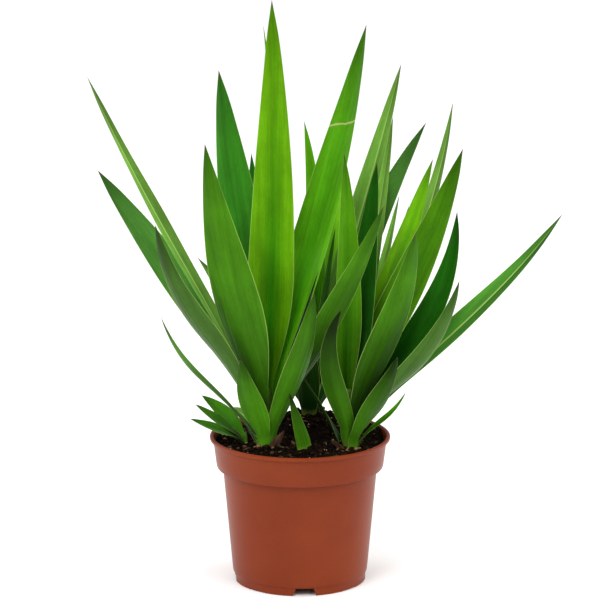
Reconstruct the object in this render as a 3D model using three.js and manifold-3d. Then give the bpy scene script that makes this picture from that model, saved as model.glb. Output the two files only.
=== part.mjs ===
// A potted yucca: a plastic nursery pot full of potting soil, with three rooted leaf crowns, a small
// offset beside the left one and a cut leaf at the front.
// Millimetres, +Z up. The pot stands on Z = 0 with its axis on the Z axis, and its front faces -Y.
import * as THREE from "three";
import { mergeVertices } from "three/addons/utils/BufferGeometryUtils.js";
import Module from "manifold-3d";

const wasm = await Module();
wasm.setup();

// ---------------------------------------------------------------- driving dimensions

const clearance = 0.3; // the gap kept between pieces that touch

// Pot: a tapered body on a stepped foot, under a wide band with a rolled lip.
const potHeight = 140;
const rimRadius = 85;
const lipWidth = 3.2;
const lipHeight = 3.6;
const lipOverhang = 3;
const bandHeight = 30;
const bandTaper = 3.6;
const bandOverhang = 5.6;
const bodyTaper = 9.4;
const potWall = 1.8;
const footStep = 1.4;
const footHeight = 8.5;
const footWall = 2.4;
const baseThickness = 2;
const potSides = 64;

// The notches round the foot, the shallow nicks between them and the drain holes in the raised base.
const notchCount = 4;
const notchTopWidth = 17;
const notchFootWidth = 22;
const notchHeight = 7.2;
const notchTurn = THREE.MathUtils.degToRad(4);
const nickWidth = 18;
const nickHeight = 1.2;
const drainHoleCount = 8;
const drainHoleRadius = 5;
const drainCircleRadius = 44;
const padRadius = 9; // the pad in the middle of the base that bears on the ground

// Soil: filled to a little under the rim, heaped up round the back crown.
const soilDrop = 8;
const lumpHeight = 1.3;
const bank = { at: [66, 40], height: 8, radius: 34 }; // soil heaped against the wall at the back right
const padMargin = 10;

// Leaves.
const leafThickness = 0.9;
const sheathWrap = 0.88; // half the angle that a leaf's base wraps round its crown, in radians
const bladeWrap = 0.42; // half the angle of the shallow channel along a blade, in radians
const rootGap = 1.2; // from the soil up to the lowest leaf
const rootDepth = 18;

const soilLevel = potHeight - soilDrop;

// The pot's radii from the rim down, each stepped in from the one above.
const bandTopRadius = rimRadius - lipOverhang;
const bandFootRadius = bandTopRadius - bandTaper;
const bodyTopRadius = bandFootRadius - bandOverhang;
const bodyFootRadius = bodyTopRadius - bodyTaper;
const footRadius = bodyFootRadius - footStep;

// Each crown: where it stands on the soil, its stem, and its leaves from the lowest to the highest.
// A leaf's tip is measured from the crown's foot, as right, back and up. belly is where along the leaf
// it is widest, bow is how far its middle lies above the straight line to the tip (below it if negative)
// and side how far to the tip's left, both as shares of the leaf's length. lift is the share of its
// length over which it rises from the crown before it leans out. A smaller taper makes a fuller tip.
// twist turns its face to the right on the way up, and turn turns the whole leaf, both in degrees.
const crowns = [
  {
    name: "left",
    at: [-31, -18],
    heap: 0,
    stem: { foot: 9.5, top: 3.5, height: 56 },
    leaves: [
      { tip: [16, -12, 20], width: 19, dry: true },
      { tip: [-99, 8, 125], width: 7, bow: -0.095, twist: 40, lift: 0.32 },
      { tip: [-45, 66, 18], width: 15, bow: 0.2 },
      { tip: [-24, -42, 96], width: 27, bow: -0.06, twist: 15 },
      { tip: [44, -56, 163], width: 31, bow: -0.08, belly: 0.55 },
      { tip: [-101, -62, 228], width: 31, bow: -0.08, twist: 25, belly: 0.5, lift: 0.4 },
      { tip: [107, -62, 245], width: 29, bow: -0.03, twist: -45 },
      { tip: [-158, 42, 257], width: 31, bow: 0.025, twist: -65, belly: 0.58, lift: 0.22 },
      { tip: [48, -14, 174], width: 21 },
      { tip: [-66, 86, 163], width: 18, side: -0.12, twist: -10, belly: 0.6, lift: 0.26 },
      { tip: [-165, 16, 350], width: 20, bow: -0.015, twist: -30, taper: 0.6 },
      { tip: [-55, -76, 306], width: 46, bow: -0.05, side: 0.01, twist: 25, belly: 0.47, taper: 0.9 },
      { tip: [-15, 100, 261], width: 28 },
      { tip: [93, 78, 388], width: 46, side: -0.02, twist: 14 },
      { tip: [-45, 72, 346], width: 50, side: 0.01, belly: 0.47 },
      { tip: [5, 28, 420], width: 45, side: -0.015, belly: 0.38 },
    ],
  },
  {
    name: "right",
    at: [45, -22],
    heap: 0,
    stem: { foot: 9.5, top: 3.5, height: 56 },
    leaves: [
      { tip: [-15, -10, 12], width: 18, dry: true },
      { tip: [54, 2, 55], width: 6, bow: -0.08, twist: 60, lift: 0.3 },
      { tip: [-45, 18, 70], width: 9, twist: 40 },
      { tip: [45, -40, 99], width: 24, bow: -0.05, twist: -30 },
      { tip: [200, 40, 216], width: 31, bow: -0.035, twist: 25 },
      { tip: [101, -50, 174], width: 27, bow: -0.11, twist: -35, lift: 0.24 },
      { tip: [-7, -60, 149], width: 21, side: -0.15 },
      { tip: [101, 22, 223], width: 32, bow: -0.14, twist: 45 },
      { tip: [59, 126, 206], width: 14 },
      { tip: [60, -66, 222], width: 35, side: 0.08, twist: -20 },
      { tip: [100, 124, 306], width: 22, bow: -0.08 },
      { tip: [49, 98, 222], width: 14 },
      { tip: [80, 82, 260], width: 30, twist: 20 },
      { tip: [107, 52, 276], width: 42, bow: -0.035, twist: 35 },
      { tip: [43, 114, 294], width: 21 },
      { tip: [27, 52, 263], width: 32 },
      { tip: [-4, 12, 279], width: 27, side: -0.015 },
    ],
  },
  {
    name: "back",
    at: [10, 34],
    heap: 18,
    stem: { foot: 8, top: 3.5, height: 40 },
    leaves: [
      { tip: [-6, -24, 110], width: 24 },
      { tip: [70, 90, 70], width: 26, bow: 0.1 },
      { tip: [-85, 70, 90], width: 26, bow: 0.08 },
      { tip: [-10, 118, 110], width: 28, bow: 0.08 },
      { tip: [-80, 90, 190], width: 32 },
      { tip: [30, 115, 215], width: 32 },
      { tip: [109, 46, 273], width: 32, bow: 0.05, twist: 45 },
      { tip: [-38, 86, 205], width: 30 },
      { tip: [85, 36, 331], width: 28, twist: 40 },
      { tip: [-44, 8, 372], width: 28, side: 0.02, belly: 0.54 },
      { tip: [-6, 34, 277], width: 20, side: -0.045, belly: 0.5 },
      { tip: [23, -8, 183], width: 24 },
    ],
  },
  {
    name: "offset",
    at: [-51, -7],
    heap: 0,
    stem: { foot: 3, top: 2, height: 10 },
    leaves: [
      { tip: [-51, -44, 37], width: 16, twist: -30, belly: 0.55 },
      { tip: [-47, -7, 41], width: 17, twist: -25, belly: 0.55 },
      { tip: [-42, 37, 38], width: 16, side: -0.09, twist: -30, belly: 0.55 },
    ],
  },
  {
    name: "cut",
    at: [5, -36],
    heap: 0,
    leaves: [{ tip: [-15, -8, 60], width: 14, belly: 0.12, turn: 75 }],
  },
];

// ---------------------------------------------------------------- small helpers

const mix = THREE.MathUtils.lerp;
const smooth = (x) => THREE.MathUtils.smoothstep(x, 0, 1);

// A closed geometry as a manifold-3d solid.
function toSolid(geometry) {
  const bare = new THREE.BufferGeometry();
  bare.setAttribute("position", geometry.getAttribute("position"));
  if (geometry.index) bare.setIndex(geometry.index);
  const merged = mergeVertices(bare, 1e-3);
  return new wasm.Manifold(
    new wasm.Mesh({
      numProp: 3,
      vertProperties: merged.attributes.position.array,
      triVerts: new Uint32Array(merged.index.array),
    }),
  );
}

// A manifold-3d solid as a geometry.
function toGeometry(solid) {
  const mesh = solid.getMesh();
  const position = new Float32Array(mesh.numVert * 3);
  for (let i = 0; i < mesh.numVert; i++) {
    const from = i * mesh.numProp;
    position.set(mesh.vertProperties.subarray(from, from + 3), i * 3);
  }
  const geometry = new THREE.BufferGeometry();
  geometry.setAttribute("position", new THREE.BufferAttribute(position, 3));
  geometry.setIndex(new THREE.BufferAttribute(mesh.triVerts, 1));
  return geometry;
}

// A profile of [radius, height] points turned about Z.
function turned(profile, sides) {
  const points = profile.map(([r, z]) => new THREE.Vector2(r, z));
  return new THREE.LatheGeometry(points, sides).rotateX(Math.PI / 2);
}

function material(color, roughness) {
  return new THREE.MeshStandardMaterial({ color, roughness, metalness: 0 });
}

const plant = new THREE.Group();

function addPiece(name, geometry, finish) {
  const mesh = new THREE.Mesh(geometry, finish);
  mesh.name = name;
  plant.add(mesh);
}

// ---------------------------------------------------------------- pot

const bandFoot = potHeight - bandHeight;
const lipFoot = potHeight - lipHeight;
const baseTop = footHeight + baseThickness - 1;
const baseUnderside = baseTop - baseThickness;

// The inside of the pot from the base up to the lip, moved in by a gap.
function insideProfile(gap) {
  return [
    [bodyFootRadius - potWall - gap, baseTop + gap],
    [bodyTopRadius - potWall - gap, bandFoot + potWall],
    [bandFootRadius - potWall - gap, bandFoot + 2 * potWall],
    [bandTopRadius - potWall - gap, lipFoot],
  ];
}

// The radius inside the pot at a height, less a gap.
function insideRadius(z, gap) {
  const profile = insideProfile(gap);
  const upper = profile.findIndex(([, height]) => height >= z);
  if (upper < 0) return profile.at(-1)[0];
  if (upper === 0) return profile[0][0];
  const [[r0, z0], [r1, z1]] = profile.slice(upper - 1, upper + 1);
  return mix(r0, r1, (z - z0) / (z1 - z0));
}

function potBody() {
  const edge = 1;
  return turned(
    [
      [0, 0],
      [padRadius, 0],
      [padRadius, baseUnderside],
      [footRadius - footWall, baseUnderside],
      [footRadius - footWall, 0],
      [footRadius, 0],
      [footRadius, footHeight - edge],
      [bodyFootRadius, footHeight],
      [bodyTopRadius, bandFoot],
      [bandFootRadius - edge, bandFoot],
      [bandFootRadius, bandFoot + edge],
      [bandTopRadius, lipFoot],
      [rimRadius - edge, lipFoot],
      [rimRadius, lipFoot + edge],
      [rimRadius, potHeight - edge],
      [rimRadius - edge, potHeight],
      [rimRadius - lipWidth, potHeight],
      ...insideProfile(0).reverse(),
      [0, baseTop],
    ],
    potSides,
  );
}

// A gap through the foot, wider at the bottom, that points along -Y.
function footCutter(topWidth, footWidth, height) {
  const overshoot = 1;
  const slope = (footWidth - topWidth) / 2 / height;
  const low = footWidth / 2 + slope * overshoot;
  const shape = new THREE.Shape([
    new THREE.Vector2(-low, -overshoot),
    new THREE.Vector2(low, -overshoot),
    new THREE.Vector2(topWidth / 2, height),
    new THREE.Vector2(-topWidth / 2, height),
  ]);
  const depth = footRadius * 0.4;
  const cutter = new THREE.ExtrudeGeometry(shape, { depth, bevelEnabled: false });
  return cutter.rotateX(Math.PI / 2).translate(0, -footRadius * 0.7, 0);
}

function pot() {
  let solid = toSolid(potBody());
  const drain = new THREE.CylinderGeometry(drainHoleRadius, drainHoleRadius, 4 * baseThickness, 12)
    .rotateX(Math.PI / 2);
  const drainHeight = baseTop - baseThickness / 2;
  const notch = footCutter(notchTopWidth, notchFootWidth, notchHeight);
  const nick = footCutter(nickWidth, nickWidth + 1, nickHeight);
  for (let i = 0; i < notchCount; i++) {
    const turn = notchTurn + (i * 2 * Math.PI) / notchCount;
    solid = solid.subtract(toSolid(notch.clone().rotateZ(turn)));
    solid = solid.subtract(toSolid(nick.clone().rotateZ(turn + Math.PI / notchCount)));
  }
  for (let i = 0; i < drainHoleCount; i++) {
    const turn = notchTurn + (i * 2 * Math.PI) / drainHoleCount;
    const hole = drain.clone().translate(0, -drainCircleRadius, drainHeight).rotateZ(turn);
    solid = solid.subtract(toSolid(hole));
  }
  return toGeometry(solid);
}

// ---------------------------------------------------------------- soil

// The height of the soil's surface. It is level round each crown and lumpy between them.
function soilHeight(x, y) {
  let height = soilLevel;
  let level = 1;
  for (const { at, heap, stem } of crowns) {
    const distance = Math.hypot(x - at[0], y - at[1]);
    const pad = (stem ? stem.foot : 4) + padMargin;
    height += heap * (1 - smooth((distance - pad) / (1.6 * pad)));
    level *= smooth((distance - pad) / pad);
  }
  const inBank = 1 - Math.hypot(x - bank.at[0], y - bank.at[1]) / bank.radius;
  height += bank.height * smooth(inBank * 1.5);
  const lumps =
    Math.sin(x / 7 + 1.3 * Math.cos(y / 11)) * Math.cos(y / 6.5 - x / 23) +
    0.6 * Math.sin(x / 3.9 - y / 5.1);
  return height + lumpHeight * lumps * level;
}

function stemRadius(stem, up) {
  return mix(stem.foot, stem.top, THREE.MathUtils.clamp(up / stem.height, 0, 1));
}

// The stem's outline from the root up, grown by a gap and by the given height above its top.
function stemProfile(stem, gap, above) {
  const turn = Math.cos(Math.PI / stemSides);
  const grown = (r) => (gap ? (r + gap) / turn : r);
  return [
    [0, -rootDepth - gap],
    [grown(stem.foot * 0.7), -rootDepth - gap],
    [grown(stem.foot), -rootDepth / 3],
    [grown(stem.foot), 0],
    [grown(stem.top), stem.height],
    [0, stem.height + above],
  ];
}

const stemSides = 16;

function crownGround({ at, heap }) {
  return soilLevel + heap;
}

function soil() {
  const gap = clearance;
  const edge = insideRadius(soilLevel, gap);
  const rings = 13;
  const top = [];
  for (let i = 0; i <= rings; i++) top.push([(edge * (rings - i)) / rings, soilLevel]);
  const wall = insideProfile(gap).filter(([, z]) => z < soilLevel - lumpHeight * 2);
  const geometry = turned([[0, baseTop + gap], ...wall, ...top], potSides);
  const position = geometry.getAttribute("position");
  for (let i = 0; i < position.count; i++) {
    const [x, y, z] = [position.getX(i), position.getY(i), position.getZ(i)];
    if (z > soilLevel - 0.01) position.setZ(i, soilHeight(x, y));
  }
  let solid = toSolid(geometry);
  for (const crown of crowns.filter(({ stem }) => stem)) {
    const hole = turned(stemProfile(crown.stem, clearance, 1), stemSides);
    solid = solid.subtract(toSolid(hole.translate(...crown.at, crownGround(crown))));
  }
  return toGeometry(solid);
}

// ---------------------------------------------------------------- leaves

// The line that a leaf's middle follows, from its crown to its tip.
function leafLine(crown, leaf, up) {
  const ground = crownGround(crown);
  const [right, back, rise] = leaf.tip;
  const out = new THREE.Vector3(right, back, 0).normalize();
  const foot = new THREE.Vector3(...crown.at, ground + up);
  const standOff = crown.stem ? stemRadius(crown.stem, up) + clearance * 2 + leafThickness / 2 : 0;
  foot.addScaledVector(out, standOff);
  const tip = new THREE.Vector3(crown.at[0] + right, crown.at[1] + back, ground + rise);
  const chord = tip.clone().sub(foot);
  const length = chord.length();
  const along = chord.clone().normalize();
  const across = new THREE.Vector3(-out.y, out.x, 0);
  const above = new THREE.Vector3().crossVectors(across, along).negate();
  const start = new THREE.Vector3(0, 0, 1).addScaledVector(along, 1.2).normalize();
  const bow = (leaf.bow ?? 0) * length;
  const side = (leaf.side ?? 0) * length;
  const middle = foot
    .clone()
    .addScaledVector(chord, 0.55)
    .addScaledVector(above, 1.5 * bow)
    .addScaledVector(across, 1.5 * side);
  const first = foot.clone().addScaledVector(start, length * (leaf.lift ?? 0.2));
  return { curve: new THREE.CubicBezierCurve3(foot, first, middle, tip), across, length, standOff };
}

// Half the width of a leaf at a share of its length.
function halfWidth(leaf, base, share) {
  const belly = leaf.belly ?? 0.42;
  const full = leaf.width / 2;
  if (share < belly) return mix(Math.min(base, full), full, smooth(share / belly));
  const left = (1 - share) / (1 - belly);
  return full * Math.sin((left * Math.PI) / 2) ** (leaf.taper ?? 0.78);
}

const leafStations = [0, 0.05, 0.11, 0.18, 0.27, 0.37, 0.47, 0.57, 0.67, 0.77, 0.86, 0.94];
const sectionOut = [-1, -0.5, 0, 0.5, 1]; // along the back of the leaf, as shares of its half width
const sectionIn = [0.5, 0, -0.5]; // and back along its face

// A leaf is a loft of thin curved sections that end in a point. The base wraps round the stem.
function leafGeometry(crown, leaf, up) {
  const { curve, across, standOff } = leafLine(crown, leaf, up);
  const thickness = leaf.dry ? leafThickness * 0.6 : leafThickness;
  const base = standOff ? standOff * sheathWrap : leaf.width / 2;
  const vertices = [];
  for (const share of leafStations) {
    const centre = curve.getPoint(share);
    const along = curve.getTangent(share);
    const turn = THREE.MathUtils.degToRad(leaf.turn ?? (leaf.twist ?? 0) * smooth(share * 1.4));
    const wide = across.clone().addScaledVector(along, -across.dot(along)).normalize();
    wide.applyAxisAngle(along, turn);
    const inward = new THREE.Vector3().crossVectors(along, wide);
    const half = halfWidth(leaf, base, share);
    const open = smooth(share / 0.2);
    const wrap = mix(standOff ? sheathWrap : bladeWrap, bladeWrap, open);
    const radius = half / wrap;
    const thick = (thickness / 2) * mix(1, 0.6, share);
    const point = (t, offset) => {
      const angle = wrap * t;
      const reach = radius + offset * (1 - t * t);
      return centre
        .clone()
        .addScaledVector(wide, Math.sin(angle) * reach)
        .addScaledVector(inward, radius - Math.cos(angle) * reach);
    };
    for (const t of sectionOut) vertices.push(point(t, thick));
    for (const t of sectionIn) vertices.push(point(t, -thick));
  }
  const ring = sectionOut.length + sectionIn.length;
  const index = [];
  for (let i = 0; i < leafStations.length - 1; i++)
    for (let k = 0; k < ring; k++) {
      const a = i * ring + k;
      const b = i * ring + ((k + 1) % ring);
      // The face's squares are split along the same diagonals as the back's behind them.
      if (k < sectionOut.length - 1) index.push(a, b, b + ring, a, b + ring, a + ring);
      else index.push(a, b, a + ring, b, b + ring, a + ring);
    }
  vertices.push(curve.getPoint(1));
  const tip = vertices.length - 1;
  const last = (leafStations.length - 1) * ring;
  for (let k = 0; k < ring; k++) index.push(last + k, last + ((k + 1) % ring), tip);
  for (const [a, b, c] of [[0, 7, 1], [1, 7, 6], [1, 6, 2], [2, 6, 5], [2, 5, 3], [3, 5, 4]])
    index.push(a, b, c);
  const geometry = new THREE.BufferGeometry().setFromPoints(vertices);
  return geometry.setIndex(index);
}

// ---------------------------------------------------------------- assembly

const potFinish = material(0x9a4a2b, 0.45);
const soilFinish = material(0x1d140e, 0.95);
const stemFinish = material(0x7d8a4a, 0.8);
const leafFinish = material(0x3f7f1c, 0.4);
const dryFinish = material(0x6b4a30, 0.85);

addPiece("pot", pot(), potFinish);
addPiece("soil", soil(), soilFinish);

for (const crown of crowns) {
  const { name, stem, leaves } = crown;
  if (stem) {
    const core = turned(stemProfile(stem, 0, 2), stemSides);
    addPiece(`${name}_stem`, core.translate(...crown.at, crownGround(crown)), stemFinish);
  }
  const spacing = stem ? (stem.height * 0.85) / leaves.length : 0;
  leaves.forEach((leaf, i) => {
    const label = leaf.dry ? "dry_sheath" : `leaf_${String(i + 1).padStart(2, "0")}`;
    const geometry = leafGeometry(crown, leaf, rootGap + i * spacing);
    addPiece(`${name}_${label}`, geometry, leaf.dry ? dryFinish : leafFinish);
  });
}

export default plant;
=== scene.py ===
"""A potted yucca: leaves, crowns and soil in a moulded nursery pot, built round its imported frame."""

import math
import random

import bmesh
import bpy
import numpy as np
from mathutils import Matrix, Vector, noise
from mathutils.bvhtree import BVHTree


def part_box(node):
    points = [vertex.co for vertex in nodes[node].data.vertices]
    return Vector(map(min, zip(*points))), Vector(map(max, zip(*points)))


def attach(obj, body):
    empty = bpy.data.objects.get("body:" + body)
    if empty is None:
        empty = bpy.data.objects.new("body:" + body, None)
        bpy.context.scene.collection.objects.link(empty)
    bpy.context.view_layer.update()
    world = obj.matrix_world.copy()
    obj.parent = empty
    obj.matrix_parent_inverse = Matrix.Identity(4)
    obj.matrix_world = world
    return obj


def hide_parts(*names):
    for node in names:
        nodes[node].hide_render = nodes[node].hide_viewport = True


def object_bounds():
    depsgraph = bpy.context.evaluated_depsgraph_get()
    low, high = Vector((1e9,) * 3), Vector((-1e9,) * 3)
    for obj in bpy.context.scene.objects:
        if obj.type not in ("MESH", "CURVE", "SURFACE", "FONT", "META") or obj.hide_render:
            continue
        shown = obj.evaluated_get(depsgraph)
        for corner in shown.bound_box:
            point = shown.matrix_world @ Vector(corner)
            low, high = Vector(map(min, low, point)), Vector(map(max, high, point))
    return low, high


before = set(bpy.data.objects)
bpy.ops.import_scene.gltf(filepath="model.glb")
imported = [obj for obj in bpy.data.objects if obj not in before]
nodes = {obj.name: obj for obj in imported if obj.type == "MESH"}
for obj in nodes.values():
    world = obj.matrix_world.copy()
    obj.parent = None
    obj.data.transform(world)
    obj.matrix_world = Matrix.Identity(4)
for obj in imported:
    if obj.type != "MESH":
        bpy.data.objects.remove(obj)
cad_low, cad_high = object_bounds()
MM = 0.001
STEMS = sorted(n for n in nodes if n.endswith("_stem"))


# ---------------------------------------------------------------- tools for meshes

def finish_object(piece, node_names, material):
    """Gives a finished piece its material and its place in the frame."""
    piece.data.materials.clear()
    piece.data.materials.append(material)
    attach(piece, "root")
    for node in node_names:
        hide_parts(node)


def pick(*pieces):
    """Selects these pieces only, with the first one active."""
    bpy.ops.object.select_all(action="DESELECT")
    for piece in pieces:
        piece.select_set(True)
    bpy.context.view_layer.objects.active = pieces[0]


def start_edit(piece):
    """Goes into edit mode on one piece, with nothing selected."""
    pick(piece)
    bpy.ops.object.mode_set(mode="EDIT")
    bpy.ops.mesh.select_all(action="DESELECT")


def end_edit():
    bpy.ops.object.mode_set(mode="OBJECT")


def select_edges(piece, wanted):
    """Selects the edges that are wanted, in edit mode."""
    bpy.ops.mesh.select_mode(type="EDGE")
    mesh = bmesh.from_edit_mesh(piece.data)
    for edge in mesh.edges:
        edge.select_set(wanted(edge))
    bmesh.update_edit_mesh(piece.data)


def bake_place(piece):
    """Moves a piece's place, turn and scale into its mesh."""
    pick(piece)
    bpy.ops.object.transform_apply(location=True, rotation=True, scale=True)


def apply_modifiers(piece):
    pick(piece)
    for modifier in list(piece.modifiers):
        bpy.ops.object.modifier_apply(modifier=modifier.name)


def smooth(piece, degrees):
    """Shades a piece smooth, but for edges sharper than an angle."""
    pick(piece)
    bpy.ops.object.shade_smooth_by_angle(angle=math.radians(degrees))


def turned(name, rings, sides):
    """A closed shape turned about Z, through rings of (radius, height) from one pole to the other."""
    radius, height = rings[0]
    bpy.ops.mesh.primitive_circle_add(
        vertices=sides, radius=radius, fill_type="TRIFAN", location=(0, 0, height)
    )
    piece = bpy.context.object
    piece.name = name
    bake_place(piece)
    start_edit(piece)
    select_edges(piece, lambda edge: edge.is_boundary)
    for next_radius, next_height in rings[1:]:
        rise = (0, 0, next_height - height)
        bpy.ops.mesh.extrude_edges_move(TRANSFORM_OT_translate={"value": rise})
        grow = next_radius / radius
        bpy.ops.transform.resize(value=(grow, grow, 1), center_override=(0, 0, next_height))
        radius, height = next_radius, next_height
    bpy.ops.mesh.edge_face_add()
    bpy.ops.mesh.poke()
    bpy.ops.mesh.select_all(action="SELECT")
    bpy.ops.mesh.remove_doubles(threshold=0.01 * MM)
    bpy.ops.mesh.normals_make_consistent(inside=False)
    end_edit()
    return piece


# ---------------------------------------------------------------- tools for materials

def linear(hex_colour):
    """A colour given as sRGB hex, in the linear values that a shader takes."""
    parts = [int(hex_colour[i:i + 2], 16) / 255 for i in (1, 3, 5)]
    return tuple(p / 12.92 if p <= 0.04045 else ((p + 0.055) / 1.055) ** 2.4 for p in parts) + (1,)


class Shader:
    """A material's node tree round one Principled shader."""

    def __init__(self, name, roughness, ior=1.45):
        self.material = bpy.data.materials.new(name)
        self.material.use_nodes = True
        self.tree = self.material.node_tree
        self.skin = self.tree.nodes["Principled BSDF"]
        self.skin.inputs["Roughness"].default_value = roughness
        self.skin.inputs["IOR"].default_value = ior

    def node(self, kind, settings=None, **sockets):
        """Adds a node. A socket, by its name or as _ and its number, is given a value, or another
        node's output to link."""
        made = self.tree.nodes.new(kind)
        for key, value in (settings or {}).items():
            setattr(made, key, value)
        for key, value in sockets.items():
            socket = made.inputs[int(key[1:]) if key[0] == "_" else key.replace("_", " ")]
            if isinstance(value, bpy.types.NodeSocket):
                self.tree.links.new(value, socket)
            else:
                socket.default_value = value
        return made.outputs

    def link(self, output, socket):
        self.tree.links.new(output, self.skin.inputs[socket])

    def emboss(self, height, strength, distance):
        """Raises the surface by a pattern."""
        bump = self.node("ShaderNodeBump", Strength=strength, Distance=distance, Height=height)
        self.link(bump["Normal"], "Normal")


def value_of(shader, name):
    return shader.node("ShaderNodeAttribute", {"attribute_name": name})["Fac"]


def ramp(shader, factor, stops, colours=False):
    """A colour ramp through (place, value) stops. A value is a grey, or a hex colour."""
    made = shader.tree.nodes.new("ShaderNodeValToRGB")
    shader.tree.links.new(factor, made.inputs[0])
    elements = made.color_ramp.elements
    while len(elements) < len(stops):
        elements.new(1)
    for element, (place, value) in zip(elements, stops):
        element.position = place
        element.color = linear(value) if colours else (value, value, value, 1)
    return made.outputs["Color"]


def blend(shader, factor, first, second, how="MIX"):
    mixed = shader.node(
        "ShaderNodeMix", {"data_type": "RGBA", "blend_type": how}, _0=factor, _6=first, _7=second
    )
    return mixed[2]


def shaded(shader, tint, shade):
    """A colour multiplied by another."""
    return blend(shader, 1.0, tint, shade, "MULTIPLY")


def arithmetic(shader, operation, *values):
    sockets = {f"_{i}": value for i, value in enumerate(values)}
    return shader.node("ShaderNodeMath", {"operation": operation}, **sockets)[0]


def drawn_out_noise(shader, place, scale, detail, roughness=0.5):
    """Noise with a scale of its own in each direction."""
    stretched = shader.node("ShaderNodeMapping", Vector=place, Scale=scale)[0]
    noise_node = shader.node(
        "ShaderNodeTexNoise", Vector=stretched, Scale=1, Detail=detail, Roughness=roughness
    )
    return noise_node["Fac"]


# ---------------------------------------------------------------- pot

# Sizes in mm. The rings run from the pad under the floor out to the foot, up the outside, over the
# lip and down the inside.
BASE_TOP = 9.5
POT_RINGS = [
    (3, 0), (8.4, 0), (9, 0.6), (9, 7.5), (59.6, 7.5), (59.6, 0.5), (60.2, 0), (61.4, 0),
    (62, 0.6), (62, 7.9), (62.3, 8.4), (63.2, 8.7), (63.4, 9.4), (64.0, 14.5), (66.9, 46), (70.0, 80),
    (72.5, 107), (72.8, 109.4), (73.6, 110), (77.2, 110), (78.1, 110.4), (78.6, 111.5), (79.6, 119),
    (80.9, 129), (81.6, 134.2), (81.9, 135.4), (82.6, 135.9), (84.0, 136.2), (84.8, 137),
    (85, 138.2), (84.7, 139.3), (83.9, 139.9), (82.9, 140), (82.0, 139.7), (81.4, 138.9),
    (80.7, 137), (80.2, 134), (77.0, 114), (76.2, 112.4), (74.0, 111.8), (71.2, 111.6), (70.9, 110.4),
    (64.6, 40), (61.8, 10.4), (60.6, BASE_TOP), (3, BASE_TOP),
]
POT_SIDES = 144
NOTCHES = 4
NOTCH = (17, 22.8, 7.2)  # width at the top and at the ground, height
NICK = (18, 19, 1.2)  # the same for the shallow nicks between the notches
NOTCH_TURN = math.radians(4)
FOOT_CUT = 58  # from the axis to the middle of a cut through the foot ring
FOOT_CUT_DEPTH = 26
DRAINS = 8
DRAIN_RADIUS = 5
DRAIN_CIRCLE = 44
DRAIN_MIDDLE = 8.5  # the height of the middle of the floor


def pot_plastic():
    """Terracotta polypropylene, injection moulded: a satin skin with a faint spark-eroded grain."""
    shader = Shader("moulded_polypropylene_terracotta", roughness=0.34, ior=1.49)
    shader.skin.inputs["Specular IOR Level"].default_value = 0.14
    place = shader.node("ShaderNodeTexCoord")["Object"]
    grain = shader.node("ShaderNodeTexNoise", Vector=place, Scale=1500, Detail=2)["Fac"]
    cloud = shader.node("ShaderNodeTexNoise", Vector=place, Scale=14, Detail=3)["Fac"]
    dust = shader.node("ShaderNodeTexNoise", Vector=place, Scale=520, Detail=1)["Fac"]
    tint = ramp(shader, cloud, [(0.35, "#772D11"), (0.7, "#803414")], colours=True)
    tint = shaded(shader, tint, ramp(shader, grain, [(0.35, 0.9), (0.65, 1.08)]))
    specks = ramp(shader, dust, [(0.76, 0.0), (0.83, 0.3)])
    shader.link(blend(shader, specks, tint, linear("#B8775A")), "Base Color")
    rough = shader.node("ShaderNodeMapRange", Value=cloud, To_Min=0.3, To_Max=0.4)["Result"]
    shader.link(rough, "Roughness")
    shader.emboss(grain, strength=0.2, distance=0.00014)
    return shader.material


def foot_cutter(turn, top_width, foot_width, height):
    """A wedge through the foot ring, wider at the ground."""
    top, low = height * MM, -1 * MM
    bpy.ops.mesh.primitive_cube_add(size=1, location=(0, -FOOT_CUT * MM, (top + low) / 2))
    cutter = bpy.context.object
    cutter.scale = (top_width * MM, FOOT_CUT_DEPTH * MM, top - low)
    bake_place(cutter)
    start_edit(cutter)
    bpy.ops.mesh.select_mode(type="FACE")
    mesh = bmesh.from_edit_mesh(cutter.data)
    for face in mesh.faces:
        face.select_set(face.normal.z < -0.9)
    bmesh.update_edit_mesh(cutter.data)
    bpy.ops.transform.resize(value=(foot_width / top_width, 1, 1), center_override=(0, 0, 0))
    end_edit()
    cutter.data.transform(Matrix.Rotation(turn, 4, "Z"))
    return cutter


def drain_cutter(turn):
    """A rod through the floor."""
    bpy.ops.mesh.primitive_cylinder_add(
        vertices=32, radius=DRAIN_RADIUS * MM, depth=8 * MM,
        location=(0, -DRAIN_CIRCLE * MM, DRAIN_MIDDLE * MM)
    )
    cutter = bpy.context.object
    bake_place(cutter)
    cutter.data.transform(Matrix.Rotation(turn, 4, "Z"))
    return cutter


def make_pot():
    pot = turned("nursery_pot", [(r * MM, z * MM) for r, z in POT_RINGS], POT_SIDES)
    cutters = []
    for i in range(NOTCHES):
        turn = NOTCH_TURN + i * math.tau / NOTCHES
        cutters.append(foot_cutter(turn, *NOTCH))
        cutters.append(foot_cutter(turn + math.pi / NOTCHES, *NICK))
    cutters += [drain_cutter(NOTCH_TURN + i * math.tau / DRAINS) for i in range(DRAINS)]
    pick(*cutters)
    bpy.ops.object.join()
    cut = pot.modifiers.new("cut", "BOOLEAN")
    cut.object = cutters[0]
    cut.operation = "DIFFERENCE"
    cut.solver = "EXACT"
    apply_modifiers(pot)
    bpy.data.objects.remove(cutters[0])
    smooth(pot, 35)
    finish_object(pot, ["pot"], pot_plastic())


# ---------------------------------------------------------------- soil

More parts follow.
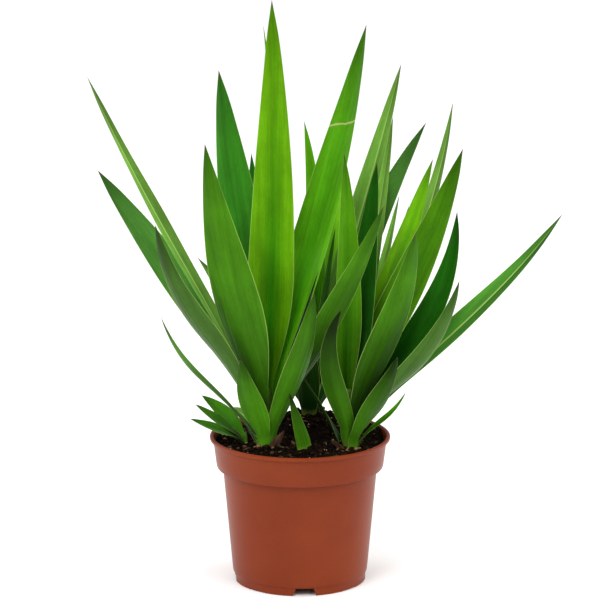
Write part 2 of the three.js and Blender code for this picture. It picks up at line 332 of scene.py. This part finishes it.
SOIL_RADIUS = 80
SOIL_DEPTH = 9
SOIL_DIVISIONS = 190
HOLLOWS = 1.5  # how far the soil's hollows rise and fall
CRUMBS = 0.8  # the same for its crumbs
STEM_HEAP = (0.85, 2.2)  # a heap's radius as a share of the stem's width, and its rise
CUT_LEAF_HEAPS = [(15, 6, 8, 5), (2, 4, 9, 3)]  # x, place behind the leaf's foot, radius, rise


def soil_surface():
    """The packed soil's surface, as a function from a place to its height in metres."""
    soil = nodes["soil"]
    corners = [v.co.copy() for v in soil.data.vertices]
    faces = [tuple(p.vertices) for p in soil.data.polygons]
    tree = BVHTree.FromPolygons(corners, faces)

    def height(x, y):
        hit = tree.ray_cast(Vector((x, y, 0.3)), Vector((0, 0, -1)))[0]
        return hit.z if hit else None

    return height


def peat(name, dark, light, fibre):
    """Moist black peat: no gloss, matted fibres and crumbs of a few millimetres."""
    shader = Shader(name, roughness=0.95)
    shader.skin.inputs["Specular IOR Level"].default_value = 0.05
    place = shader.node("ShaderNodeTexCoord")["Object"]
    crumbs = shader.node("ShaderNodeTexNoise", Vector=place, Scale=330, Detail=6, Roughness=0.65)["Fac"]
    tint = ramp(shader, crumbs, [(0.36, dark), (0.56, light), (0.74, fibre)], colours=True)
    shader.link(tint, "Base Color")
    shader.emboss(crumbs, strength=0.9, distance=0.0012)
    return shader.material


def soil_heaps():
    """Where crumbs are banked up against the feet of the crowns and the cut leaf: x, y, radius, rise."""
    heaps = []
    share, rise = STEM_HEAP
    for node in STEMS:
        low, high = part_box(node)
        heaps.append(((low.x + high.x) / 2, (low.y + high.y) / 2, share * (high.x - low.x), rise * MM))
    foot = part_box("cut_leaf_01")[0].y
    for x, behind, radius, rise in CUT_LEAF_HEAPS:
        heaps.append((x * MM, foot + behind * MM, radius * MM, rise * MM))
    return heaps


HEAPS = soil_heaps()


def ground_level(height, x, y):
    """The height of the finished soil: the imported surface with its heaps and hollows."""
    # Read a little further in, because the packed soil ends short of this skin's rim.
    level = height(x * 0.985, y * 0.985)
    if level is None:
        level = height(x * 0.93, y * 0.93) or cad_low.z
    for heap_x, heap_y, radius, rise in HEAPS:
        level += rise * math.exp(-((x - heap_x) ** 2 + (y - heap_y) ** 2) / radius**2)
    place = Vector((x, y, level))
    return level + HOLLOWS * noise.fractal(place * 110, 0.8, 2.2, 4) * MM


def make_soil(height):
    """A fine closed skin over the packed soil, roughened with crumbs."""
    edge, depth = SOIL_RADIUS * MM, SOIL_DEPTH * MM
    bpy.ops.mesh.primitive_grid_add(x_subdivisions=SOIL_DIVISIONS, y_subdivisions=SOIL_DIVISIONS, size=2)
    soil = bpy.context.object
    soil.name = "soil_surface"
    for v in soil.data.vertices:
        # The square grid is drawn in to a round one.
        x, y = v.co.x, v.co.y
        reach = max(abs(x), abs(y))
        around = math.hypot(x, y)
        if around > 0:
            x, y = x * reach / around * edge, y * reach / around * edge
        level = ground_level(height, x, y)
        fine = noise.fractal(Vector((x, y, level)) * 480, 0.7, 2.1, 3)
        v.co = (x, y, level + CRUMBS * fine * MM)
    start_edit(soil)
    select_edges(soil, lambda rim: rim.is_boundary)
    bpy.ops.mesh.extrude_edges_move(TRANSFORM_OT_translate={"value": (0, 0, -depth)})
    floor = height(0, -50 * MM) - depth  # measured down from the soil's level front
    bpy.ops.transform.resize(value=(0.96, 0.96, 0), center_override=(0, 0, floor))
    bpy.ops.mesh.edge_face_add()
    bpy.ops.mesh.select_all(action="SELECT")
    bpy.ops.mesh.normals_make_consistent(inside=False)
    end_edit()
    smooth(soil, 80)
    material = peat("moist_black_peat", "#060403", "#120B06", "#2E1D0E")
    finish_object(soil, ["soil"], material)


# ---------------------------------------------------------------- leaves

LEAF_ROWS = 72
LEAF_COLUMNS = 14
LEAF_WALL = 1.0 * MM
THIN_MARGIN = 0.12  # the wall at the margins, as a share of the thickest
ROOT_DEPTH = 18 * MM  # how far a stem runs down into the soil
SHEATH_DEPTH = 4 * MM  # how far a sheath runs on below the soil
SHEATH_DRAW_IN = 0.52  # the share of its width that a sheath loses over a root's depth
WITHERED = {"left_leaf_02": 1.9}  # a blade rolled up into a cord, thicker than packed by this much


def packed_leaf(node):
    """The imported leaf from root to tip: sections of five points from one margin to the other."""
    mesh = bmesh.new()
    mesh.from_mesh(nodes[node].data)
    bmesh.ops.remove_doubles(mesh, verts=mesh.verts, dist=0.005 * MM)
    tip = max(mesh.verts, key=lambda v: (len(v.link_edges) == 8, v.co.z))
    rings = [{tip}]
    seen = {tip}
    while rings[-1]:
        rings.append({e.other_vert(v) for v in rings[-1] for e in v.link_edges} - seen)
        seen |= rings[-1]
    rings = rings[1:-1]
    sections = []
    for i, ring in enumerate(rings):
        # One margin meets three points of the ring below, and the other margin one. The last ring,
        # at the root, has none below, so the ring above tells, the other way round.
        last = i + 1 == len(rings)
        below = rings[i - 1] if last else rings[i + 1]
        meets = {v: sum(e.other_vert(v) in below for e in v.link_edges) for v in ring}
        fewest = min(ring, key=meets.get).co.copy()
        most = max(ring, key=meets.get).co.copy()
        left, right = (fewest, most) if last else (most, fewest)
        across = right - left
        inner = [v.co.copy() for v in ring if (v.co - left).length > 0 and (v.co - right).length > 0]
        inner.sort(key=lambda p: (p - left).dot(across))
        middle = [(inner[k] + inner[k + 1]) / 2 for k in (0, 2, 4)]
        sections.append([left, *middle, right])
    sections.reverse()
    sections.append([tip.co.copy()] * 5)
    mesh.free()
    return np.array([[list(p) for p in section] for section in sections])


def with_sheath(sections, node):
    """The leaf with its sheath carried on down round the crown, drawing in on its way into the soil."""
    crown = node.split("_")[0] + "_stem"
    if crown not in nodes:
        return sections
    low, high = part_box(crown)
    centre = np.array([(low.x + high.x) / 2, (low.y + high.y) / 2, 0])
    ground = low.z + ROOT_DEPTH
    root = sections[0]
    drop = root[:, 2].mean() - ground + SHEATH_DEPTH
    added = []
    for share in (1.0, 0.75, 0.5, 0.25):
        depth = share * drop
        draw_in = 1 - SHEATH_DRAW_IN * min(1, depth / ROOT_DEPTH) ** 1.5
        ring = (root - centre) * [draw_in, draw_in, 1] + centre
        ring[:, 2] -= depth
        added.append(ring)
    return np.concatenate([added, sections])


def through(knots, values, places):
    """A smooth curve through values at knots, read at places."""
    slopes = np.gradient(values, knots, axis=0)
    index = np.clip(np.searchsorted(knots, places, side="right") - 1, 0, len(knots) - 2)
    step = (knots[index + 1] - knots[index])[:, None]
    t = ((places - knots[index]) / step[:, 0])[:, None]
    a, b = values[index], values[index + 1]
    ma, mb = slopes[index] * step, slopes[index + 1] * step
    return (
        (2 * t**3 - 3 * t**2 + 1) * a + (t**3 - 2 * t**2 + t) * ma
        + (3 * t**2 - 2 * t**3) * b + (t**3 - t**2) * mb
    )


def unit(vectors):
    return vectors / np.maximum(np.linalg.norm(vectors, axis=-1, keepdims=True), 1e-9)


def leaf_surface(sections, seed, fold, ripple):
    """The face of a leaf as rows of points from root to tip, each row's way along and half width,
    and the columns from -1 at one margin to 1 at the other."""
    steps = np.linalg.norm(np.diff(sections[:, 2], axis=0), axis=1)
    knots = np.concatenate([[0], np.cumsum(steps)])
    shares = np.linspace(0, 1, LEAF_ROWS) ** 0.92
    rows = shares * knots[-1]
    tracks = np.stack([through(knots, sections[:, k], rows) for k in range(5)], axis=1)
    across = tracks[:, 4] - tracks[:, 0]
    along = unit(np.gradient(tracks[:, 2], rows, axis=0))
    facing = unit(np.cross(unit(across), along))
    hollow = (tracks[:, 0] + tracks[:, 4]) / 2 - tracks[:, 2]
    if (hollow * facing).sum() < 0:
        tracks, facing = tracks[:, ::-1], -facing
    half = np.linalg.norm(across, axis=1) / 2
    columns = np.linspace(-1, 1, LEAF_COLUMNS + 1)
    columns = np.sign(columns) * np.sin(np.abs(columns) * math.pi / 2)  # closer together at the margins
    grid = np.stack([through(np.linspace(-1, 1, 5), row, columns) for row in tracks])
    rng = random.Random(seed)
    phase = [rng.uniform(0, math.tau) for _ in range(4)]
    right = np.sin(rows / (34 * MM) + phase[0]) + 0.6 * np.sin(rows / (19 * MM) + phase[1])
    left = np.sin(rows / (41 * MM) + phase[2]) + 0.6 * np.sin(rows / (22 * MM) + phase[3])
    wave = np.where(columns[None, :] > 0, right[:, None], left[:, None])
    wave = wave * np.abs(columns)[None, :] ** 3 * (np.sin(np.pi * shares) ** 0.7)[:, None]
    crease = -np.exp(-np.abs(columns) / 0.22)[None, :] * np.minimum(1, half / (8 * MM))[:, None]
    lift = (fold * crease + ripple * wave) * MM
    return grid + lift[..., None] * facing[:, None, :], rows, half, columns


def note(leaf, name, values):
    """Keeps a value for each point of a leaf, for its material to read."""
    made = leaf.data.attributes.new(name, "FLOAT", "POINT")
    made.data.foreach_set("value", np.asarray(values, dtype=np.float32))


def thicken(leaf, plump):
    """Gives a leaf its wall, plump down the middle and thin at the margins, and notes its underside."""
    body = leaf.vertex_groups.new(name="body")
    leaf.vertex_groups.new(name="back")
    for index, weight in enumerate(plump):
        body.add([index], float(weight), "REPLACE")
    wall = leaf.modifiers.new("wall", "SOLIDIFY")
    wall.thickness = LEAF_WALL
    wall.offset = -1
    wall.vertex_group = "body"
    wall.thickness_vertex_group = THIN_MARGIN
    wall.shell_vertex_group = "back"
    apply_modifiers(leaf)
    back = leaf.vertex_groups["back"].index
    is_back = [any(g.group == back and g.weight > 0.5 for g in v.groups) for v in leaf.data.vertices]
    note(leaf, "under", is_back)
    start_edit(leaf)
    bpy.ops.mesh.select_all(action="SELECT")
    bpy.ops.mesh.remove_doubles(threshold=0.01 * MM)
    end_edit()


def make_leaf(name, node, seed, fold=0.6, ripple=0.5, tone=(1, 1)):
    """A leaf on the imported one's line: a grid laid over it, then thickened towards its back."""
    sections = with_sheath(packed_leaf(node), node)
    middle = sections[:, 2:3]
    sections = middle + (sections - middle) * WITHERED.get(node, 1.0)
    face, rows, half, columns = leaf_surface(sections, seed, fold, ripple)
    bpy.ops.mesh.primitive_grid_add(x_subdivisions=LEAF_COLUMNS, y_subdivisions=LEAF_ROWS - 1, size=2)
    leaf = bpy.context.object
    leaf.name = name
    spots = np.array([v.co[:] for v in leaf.data.vertices])
    column = np.rint((spots[:, 0] + 1) / 2 * LEAF_COLUMNS).astype(int)
    row = np.rint((spots[:, 1] + 1) / 2 * (LEAF_ROWS - 1)).astype(int)
    leaf.data.vertices.foreach_set("co", face[row, column].ravel())

    side = columns[column]
    share = rows[row] / rows[-1]
    first, last = tone
    note(leaf, "edge", np.abs(side))
    note(leaf, "side", side)
    note(leaf, "share", share)
    # The tone from root to tip is painted light and shade as well as the leaf's own tone.
    note(leaf, "tone", first + (last - first) * np.clip((share - 0.1) / 0.75, 0, 1))
    # Millimetres across and along the leaf, and a third value that sets each leaf's pattern apart.
    lie = np.stack([side * half[row] / MM, rows[row] / MM, np.full(len(row), seed * 7.3)], 1)
    spread = leaf.data.attributes.new("lie", "FLOAT_VECTOR", "POINT")
    spread.data.foreach_set("vector", lie.astype(np.float32).ravel())

    thicken(leaf, (1 - side**2) * (1 - 0.6 * share) * np.minimum(1, half[row] / (4 * MM)))
    smooth(leaf, 60)
    return leaf


STRIPE_WIDTH = 0.3  # of the darker middle, as a share of the half width


def paint_fold_light_and_shade(shader, tint, edge):
    """The two halves lie at an angle, one painted lighter and the other painted darker, as if one
    catches the light and the other lies in shade, with a pale crease between them.
    """
    side = value_of(shader, "side")
    half = shader.node("ShaderNodeMapRange", Value=side, From_Min=-0.1, From_Max=0.1)["Result"]
    # Painted light and shade: one half is lightened and the other darkened.
    tint = shaded(shader, tint, ramp(shader, half, [(0.0, 1.12), (1.0, 0.72)]))
    crease = ramp(shader, edge, [(0.03, 0.75), (0.11, 0.0)])
    return blend(shader, crease, tint, linear("#A6C86C"))


def scratch(shader, tint, share, patches, place):
    """A healed scratch right across the blade, wandering a little."""
    slant, wobble = 0.012, 0.03
    wander = arithmetic(shader, "MULTIPLY_ADD", value_of(shader, "side"), slant, place - slant)
    wander = arithmetic(shader, "MULTIPLY_ADD", patches, wobble, wander)
    off = arithmetic(shader, "ABSOLUTE", arithmetic(shader, "SUBTRACT", share, wander))
    line = ramp(shader, off, [(0.0012, 0.9), (0.0032, 0.0)])
    return blend(shader, line, tint, linear("#B8B078"))


def leaf_skin(name, face, stripe, back, sheen=0.0, roughness=0.4, scar=None, fold_light_and_shade=False):
    """Living leaf: a waxy satin face with fine lengthwise veins, a darker middle and a duller back.
    The margin is thin, pale and horny, the root pale, and the tip dark with a dry brown point."""
    shader = Shader(name, roughness=roughness, ior=1.42)
    skin = shader.skin.inputs
    skin["Specular IOR Level"].default_value = 0.12
    skin["Specular Tint"].default_value = linear("#C8F0A0")
    skin["Sheen Weight"].default_value = sheen
    skin["Sheen Roughness"].default_value = 0.35
    skin["Sheen Tint"].default_value = linear("#C4DCB0")
    edge, under, share, tone = (value_of(shader, key) for key in ("edge", "under", "share", "tone"))
    lie = shader.node("ShaderNodeAttribute", {"attribute_name": "lie"})["Vector"]
    veins = drawn_out_noise(shader, lie, (1.0, 0.012, 1), 3, 0.6)
    bands = drawn_out_noise(shader, lie, (0.16, 0.008, 1), 2)
    patches = drawn_out_noise(shader, lie, (0.05, 0.028, 1), 3)
    mottle = drawn_out_noise(shader, lie, (0.9, 0.22, 1), 4, 0.7)
    ribs = drawn_out_noise(shader, lie, (0.34, 0.004, 1), 1)

    middle = ramp(shader, edge, [(0.0, 1.0), (STRIPE_WIDTH, 0.6), (2 * STRIPE_WIDTH, 0.0)])
    fade = ramp(shader, share, [(0.35, 1.0), (0.8, 0.25)])
    front = blend(shader, shaded(shader, middle, fade), linear(face), linear(stripe))
    tint = blend(shader, under, front, linear(back))
    for pattern, low, high in (
        (veins, 0.9, 1.08), (bands, 0.8, 1.16), (patches, 0.84, 1.14), (mottle, 0.9, 1.08),
    ):
        tint = shaded(shader, tint, ramp(shader, pattern, [(0.3, low), (0.7, high)]))
    # Painted light and shade: the colour is lightened or darkened from root to tip by the leaf's tone.
    tone_light_and_shade = shader.node("ShaderNodeCombineColor", _0=tone, _1=tone, _2=tone)[0]
    tint = shaded(shader, tint, tone_light_and_shade)
    # Folded leaves get painted light on one half and painted shade on the other.
    if fold_light_and_shade:
        tint = paint_fold_light_and_shade(shader, tint, edge)
    root = ramp(shader, share, [(0.0, 0.8), (0.04, 0.45), (0.11, 0.0)])
    tint = blend(shader, root, tint, linear("#8CA43C"))
    rim = ramp(shader, edge, [(0.955, 0.0), (0.99, 0.55)])
    tint = blend(shader, rim, tint, linear("#A8C468"))
    tint = shaded(shader, tint, ramp(shader, share, [(0.78, 1.0), (0.97, 0.5)]))
    end = ramp(shader, share, [(0.975, 0.0), (0.992, 0.85)])
    tint = blend(shader, end, tint, linear("#4A3820"))
    if scar:
        tint = scratch(shader, tint, share, patches, scar)
    shader.link(tint, "Base Color")
    dull = shader.node(
        "ShaderNodeMapRange", Value=patches, From_Min=0.3, From_Max=0.7,
        To_Min=roughness - 0.06, To_Max=roughness + 0.1
    )
    shader.link(dull["Result"], "Roughness")
    broad = shader.node("ShaderNodeBump", Strength=0.7, Distance=0.0012, Height=ribs)["Normal"]
    fine = shader.node("ShaderNodeBump", Strength=0.35, Distance=0.0002, Height=veins, Normal=broad)
    shader.link(fine["Normal"], "Normal")
    return shader.material


# Each skin: the colours of face, middle stripe and back, then the leaves that have it. A leaf has its
# own tones at root and tip, where 1 is the skin's colour. These tones hold painted light and shade as
# well as the leaf's own tone: an end is painted darker where it lies in shade and lighter where it
# catches light.
LEAF_SKINS = [
    (leaf_skin("young_yucca_leaf", "#66A60C", "#2A7A06", "#6A9C26"),
     {"left_leaf_16": (0.72, 0.88), "right_leaf_13": (0.7, 1.1), "back_leaf_06": (0.5, 1.5)}),
    (leaf_skin("scarred_yucca_leaf", "#498A0E", "#38800A", "#528A20", scar=0.765),
     {"left_leaf_14": (1.9, 0.85)}),
    (leaf_skin("grown_yucca_leaf", "#52940E", "#327808", "#5C9424"),
     {"right_leaf_17": (0.35, 1.0), "right_leaf_14": (0.55, 0.65), "back_leaf_11": (1.2, 1.9),
      "back_leaf_10": (1.2, 1.4), "back_leaf_03": (0.7, 0.7), "right_leaf_02": (0.3, 0.9)}),
    # This skin paints light on one half of the fold and shade on the other.
    (leaf_skin("folded_yucca_leaf", "#72A440", "#5E9830", "#7EA64A", sheen=0.06, fold_light_and_shade=True),
     {"left_leaf_11": (1.0, 0.9), "right_leaf_11": (0.9, 0.8), "right_leaf_12": (0.6, 2.2),
      "right_leaf_15": (0.9, 1.4), "left_leaf_10": (1.5, 1.1), "back_leaf_09": (0.4, 1.15),
      "left_leaf_03": (1.3, 1.0)}),
    (leaf_skin("yucca_leaf_underside", "#468614", "#387A10", "#427C10", sheen=0.12),
     {"left_leaf_12": (0.6, 0.95), "right_leaf_10": (0.12, 0.95), "left_leaf_05": (0.95, 0.62),
      "left_leaf_07": (0.15, 0.9), "left_leaf_04": (1.7, 0.5), "offset_leaf_01": (0.6, 0.7),
      "offset_leaf_02": (0.35, 0.65), "offset_leaf_03": (0.9, 0.9), "right_leaf_07": (0.8, 0.09),
      "cut_leaf_01": (1.1, 0.2), "right_leaf_04": (0.9, 0.17)}),
    (leaf_skin("bloomed_yucca_leaf", "#487E30", "#3E7628", "#426826", sheen=0.18, roughness=0.5),
     {"left_leaf_06": (1.05, 0.7), "right_leaf_06": (0.95, 1.0), "left_leaf_08": (1.9, 0.9),
      "back_leaf_07": (1.25, 0.85), "left_leaf_02": (0.5, 1.5)}),
    (leaf_skin("glaucous_yucca_leaf", "#34781C", "#2C6E1A", "#4A7C38"),
     {"left_leaf_15": (1.5, 1.2), "back_leaf_02": (0.6, 0.9), "back_leaf_04": (0.6, 1.0),
      "back_leaf_05": (0.6, 1.0), "back_leaf_08": (0.6, 1.0)}),
    # Leaves that lie in shade inside the crowns: the shade is painted into these dark colours.
    (leaf_skin("yucca_leaf_in_painted_shade", "#1C5E0C", "#18520A", "#2A5A14"),
     {"right_leaf_08": (0.4, 1.0), "right_leaf_16": (0.3, 0.9), "back_leaf_12": (1.1, 1.4),
      "back_leaf_01": (0.2, 1.0), "left_leaf_09": (0.8, 0.4), "left_leaf_13": (2, 2.4),
      "right_leaf_03": (0.3, 0.3), "right_leaf_09": (0.8, 1)}),
    # This skin paints light on one half of the fold and shade on the other.
    (leaf_skin("creased_yucca_leaf", "#48862B", "#428226", "#5C9438", fold_light_and_shade=True),
     {"right_leaf_05": (1.35, 0.8)}),
]


def make_leaves():
    looks = {node: (skin, tone) for skin, tones_light_and_shade in LEAF_SKINS for node, tone in tones_light_and_shade.items()}
    for seed, node in enumerate(sorted(looks)):
        skin, tone = looks[node]
        piece = make_leaf(node.replace("leaf", "blade"), node, seed, tone=tone)
        finish_object(piece, [node], skin)


# ---------------------------------------------------------------- crowns

def crown_flesh():
    """The pale, moist foot of a crown, where the leaf sheaths overlap."""
    shader = Shader("leaf_sheath_flesh", roughness=0.5, ior=1.42)
    place = shader.node("ShaderNodeTexCoord")["Object"]
    veins = drawn_out_noise(shader, place, (700, 700, 30), 3)
    tint = ramp(shader, veins, [(0.3, "#2E5410"), (0.6, "#5C8420"), (0.8, "#8C9C44")], colours=True)
    shader.link(tint, "Base Color")
    shader.emboss(veins, strength=0.4, distance=0.0003)
    return shader.material


def dry_husk():
    """A dead sheath: brown, papery and split along its fibres."""
    shader = Shader("dry_papery_sheath", roughness=0.85)
    lie = shader.node("ShaderNodeAttribute", {"attribute_name": "lie"})["Vector"]
    fibres = drawn_out_noise(shader, lie, (1.4, 0.08, 1), 5)
    tint = ramp(shader, fibres, [(0.3, "#2A1A10"), (0.5, "#5B3C26"), (0.72, "#94714E")], colours=True)
    shader.link(tint, "Base Color")
    shader.emboss(fibres, strength=0.8, distance=0.0006)
    return shader.material


# The core inside the sheaths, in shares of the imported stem's foot radius and height.
CORE_RINGS = [
    (0.2, 0), (0.32, 0.02), (0.38, 0.14), (0.42, 0.3), (0.46, 0.4), (0.56, 0.55), (0.6, 0.7),
    (0.5, 0.86), (0.38, 0.97), (0.2, 1.0),
]


def make_crowns():
    flesh, husk = crown_flesh(), dry_husk()
    for node in STEMS:
        low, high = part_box(node)
        centre = (low + high) / 2
        foot = (high.x - low.x) / 2
        tall = high.z - low.z
        rings = [(r * foot, low.z + z * tall) for r, z in CORE_RINGS]
        piece = turned(node.replace("stem", "core"), rings, 32)
        piece.data.transform(Matrix.Translation((centre.x, centre.y, 0)))
        smooth(piece, 60)
        finish_object(piece, [node], flesh)
    sheaths = sorted(n for n in nodes if n.endswith("_dry_sheath"))
    for seed, node in enumerate(sheaths, 60):
        piece = make_leaf(node.replace("dry_sheath", "husk"), node, seed, fold=0.4, ripple=1.6)
        finish_object(piece, [node], husk)


# ---------------------------------------------------------------- crumbs, bark, roots

def lump(seed, detail):
    """A rough lump about 2 units across."""
    bpy.ops.mesh.primitive_ico_sphere_add(subdivisions=detail, radius=1)
    made = bpy.context.object
    for v in made.data.vertices:
        v.co *= 1 + 0.55 * noise.noise(v.co * 1.4 + Vector((seed, 0, 0)))
    return made


LUMPS = 4
LITTER_EDGE = 78  # the middle of a crumb lies no further out than this, inside the pot's wall


def scatter(name, height, count, size, stretch, material, seed,
            centre=(0, 0), radius=77, detail=2, sink=0.35):
    """Copies of four lumps, strewn over the soil and joined in one piece. Its measures are in mm."""
    rng = random.Random(seed)
    lumps = [lump(seed * 9 + i, detail) for i in range(LUMPS)]
    strewn = bmesh.new()
    placed = 0
    while placed < count:
        reach = radius * MM * math.sqrt(rng.random())
        turn = rng.uniform(0, math.tau)
        x = centre[0] * MM + reach * math.cos(turn)
        y = centre[1] * MM + reach * math.sin(turn)
        if math.hypot(x, y) > LITTER_EDGE * MM:
            continue
        placed += 1
        half = 0.5 * rng.uniform(*size) * MM
        scale = Matrix.Diagonal((half * rng.uniform(*stretch), half, half * rng.uniform(0.5, 1), 1))
        roll = Matrix.Rotation(rng.uniform(-0.5, 0.5), 4, "X")
        tilt = Matrix.Rotation(rng.uniform(-0.4, 0.4), 4, "Y")
        spin = Matrix.Rotation(rng.uniform(0, math.tau), 4, "Z")
        place = Matrix.Translation((x, y, ground_level(height, x, y) + half * sink))
        copy = lumps[rng.randrange(LUMPS)].data.copy()
        copy.transform(place @ spin @ roll @ tilt @ scale)
        strewn.from_mesh(copy)
        bpy.data.meshes.remove(copy)
    for used in lumps[1:]:
        bpy.data.objects.remove(used)
    piece = lumps[0]
    piece.name = name
    strewn.to_mesh(piece.data)
    strewn.free()
    smooth(piece, 50)
    finish_object(piece, [], material)


def grit(name, dark, light):
    """Bits of bark, root and mineral in the soil, dry on top."""
    shader = Shader(name, roughness=0.9)
    place = shader.node("ShaderNodeTexCoord")["Object"]
    tone = shader.node("ShaderNodeTexNoise", Vector=place, Scale=260, Detail=4)["Fac"]
    shader.link(ramp(shader, tone, [(0.35, dark), (0.65, light)], colours=True), "Base Color")
    shader.emboss(tone, strength=0.6, distance=0.0004)
    return shader.material


def make_litter(height):
    crumbs = peat("peat_crumbs", "#080503", "#1A1009", "#452D17")
    scatter("peat_crumbs_fine", height, 1700, (1.0, 2.6), (0.8, 1.6), crumbs, 1, detail=1)
    scatter("peat_crumbs_coarse", height, 420, (2.4, 5.4), (0.8, 1.5), crumbs, 2)
    bark = grit("composted_bark", "#24140A", "#553518")
    scatter("bark_chips", height, 110, (1.6, 3.6), (1.2, 2.4), bark, 3)
    scatter("bark_piece", height, 5, (7, 11), (1.1, 1.6), bark, 8, centre=(-50, 24), radius=9, sink=0.6)
    mineral = grit("pumice_grains", "#7A6742", "#C2B084")
    scatter("pumice_grains", height, 90, (0.8, 2.0), (0.9, 1.3), mineral, 4)
    roots = grit("dry_rootlets", "#6E5330", "#A88A58")
    scatter("rootlets", height, 60, (0.5, 0.9), (5, 12), roots, 5, sink=1.2)
    foot = (13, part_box("cut_leaf_01")[0].y / MM)
    scatter("cut_leaf_crumbs", height, 36, (2.2, 4.4), (0.8, 1.5), crumbs, 9,
            centre=foot, radius=7, sink=1.2)
    flakes = grit("dry_sheath_flakes", "#2E1C0E", "#9A7848")
    for i, node in enumerate(("left_stem", "right_stem")):
        low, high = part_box(node)
        foot = ((low.x + high.x) / 2 / MM, (low.y + high.y) / 2 / MM)
        scatter(node + "_crumbs", height, 60, (2.4, 4.6), (0.8, 1.5), crumbs, 10 + i,
                centre=foot, radius=13, sink=1.0)
        scatter(node + "_flakes", height, 30, (2.0, 4.6), (1.4, 3.0), flakes, 6 + i,
                centre=foot, radius=13, sink=0.9)


# ---------------------------------------------------------------- studio

SOFTBOXES = [  # name, place, size, power
    ("key_softbox", (-1.2, -2.2, 2.6), 1.4, 40),
    ("fill_softbox", (1.8, -1.6, 1.8), 1.6, 18),
    ("left_strip", (-2.2, 0.7, 0.9), 1.6, 22),
    ("right_strip", (2.2, 0.7, 0.9), 1.6, 22),
]
WORLD_AS_LIGHT = 0.4  # the white world is full white where it is seen, and softer as a light
CAMERA_AIM = Vector((0, 0, 0.270))
CAMERA_PITCH = math.radians(13.6)
CAMERA_DISTANCE = 4.0
CAMERA_LENS = 257


def make_floor():
    bpy.ops.mesh.primitive_plane_add(size=60, location=(0, 0, 0))
    floor = bpy.context.object
    floor.name = "studio_floor"
    paper = Shader("matt_studio_floor", roughness=0.9)
    paper.skin.inputs["Base Color"].default_value = linear("#F8F8F8")
    paper.skin.inputs["Specular IOR Level"].default_value = 0.1
    floor.data.materials.append(paper.material)


def make_world():
    world = bpy.data.worlds.new("studio_white")
    bpy.context.scene.world = world
    world.use_nodes = True
    tree = world.node_tree
    background = tree.nodes["Background"]
    background.inputs["Color"].default_value = (1, 1, 1, 1)
    path = tree.nodes.new("ShaderNodeLightPath")
    level = tree.nodes.new("ShaderNodeMapRange")
    level.inputs["To Min"].default_value = WORLD_AS_LIGHT
    tree.links.new(path.outputs["Is Camera Ray"], level.inputs["Value"])
    tree.links.new(level.outputs["Result"], background.inputs["Strength"])


def add_to_studio(name, data):
    made = bpy.data.objects.new(name, data)
    bpy.context.scene.collection.objects.link(made)
    return made


def make_lamps():
    for name, place, size, power in SOFTBOXES:
        data = bpy.data.lights.new(name, "AREA")
        data.size = size
        data.energy = power
        lamp = add_to_studio(name, data)
        lamp.visible_camera = False
        lamp.location = place
        lamp.rotation_euler = (Vector((0, 0, 0.25)) - Vector(place)).to_track_quat("-Z", "Y").to_euler()
    data = bpy.data.lights.new("overhead_diffuser", "SUN")
    data.energy = 2.0
    data.angle = math.radians(110)
    add_to_studio("overhead_diffuser", data).rotation_euler = (math.radians(12), 0, 0)


def make_camera():
    data = bpy.data.cameras.new("camera")
    data.lens = CAMERA_LENS
    data.sensor_width = 36
    camera = add_to_studio("camera", data)
    back = Vector((0, -math.cos(CAMERA_PITCH), math.sin(CAMERA_PITCH)))
    camera.location = CAMERA_AIM + CAMERA_DISTANCE * back
    camera.rotation_euler = (math.pi / 2 - CAMERA_PITCH, 0, 0)
    bpy.context.scene.camera = camera
    bpy.context.scene.view_settings.view_transform = "Standard"


soil_height = soil_surface()
make_pot()
make_soil(soil_height)
make_leaves()
make_crowns()
make_litter(soil_height)
make_floor()
make_world()
make_lamps()
make_camera()
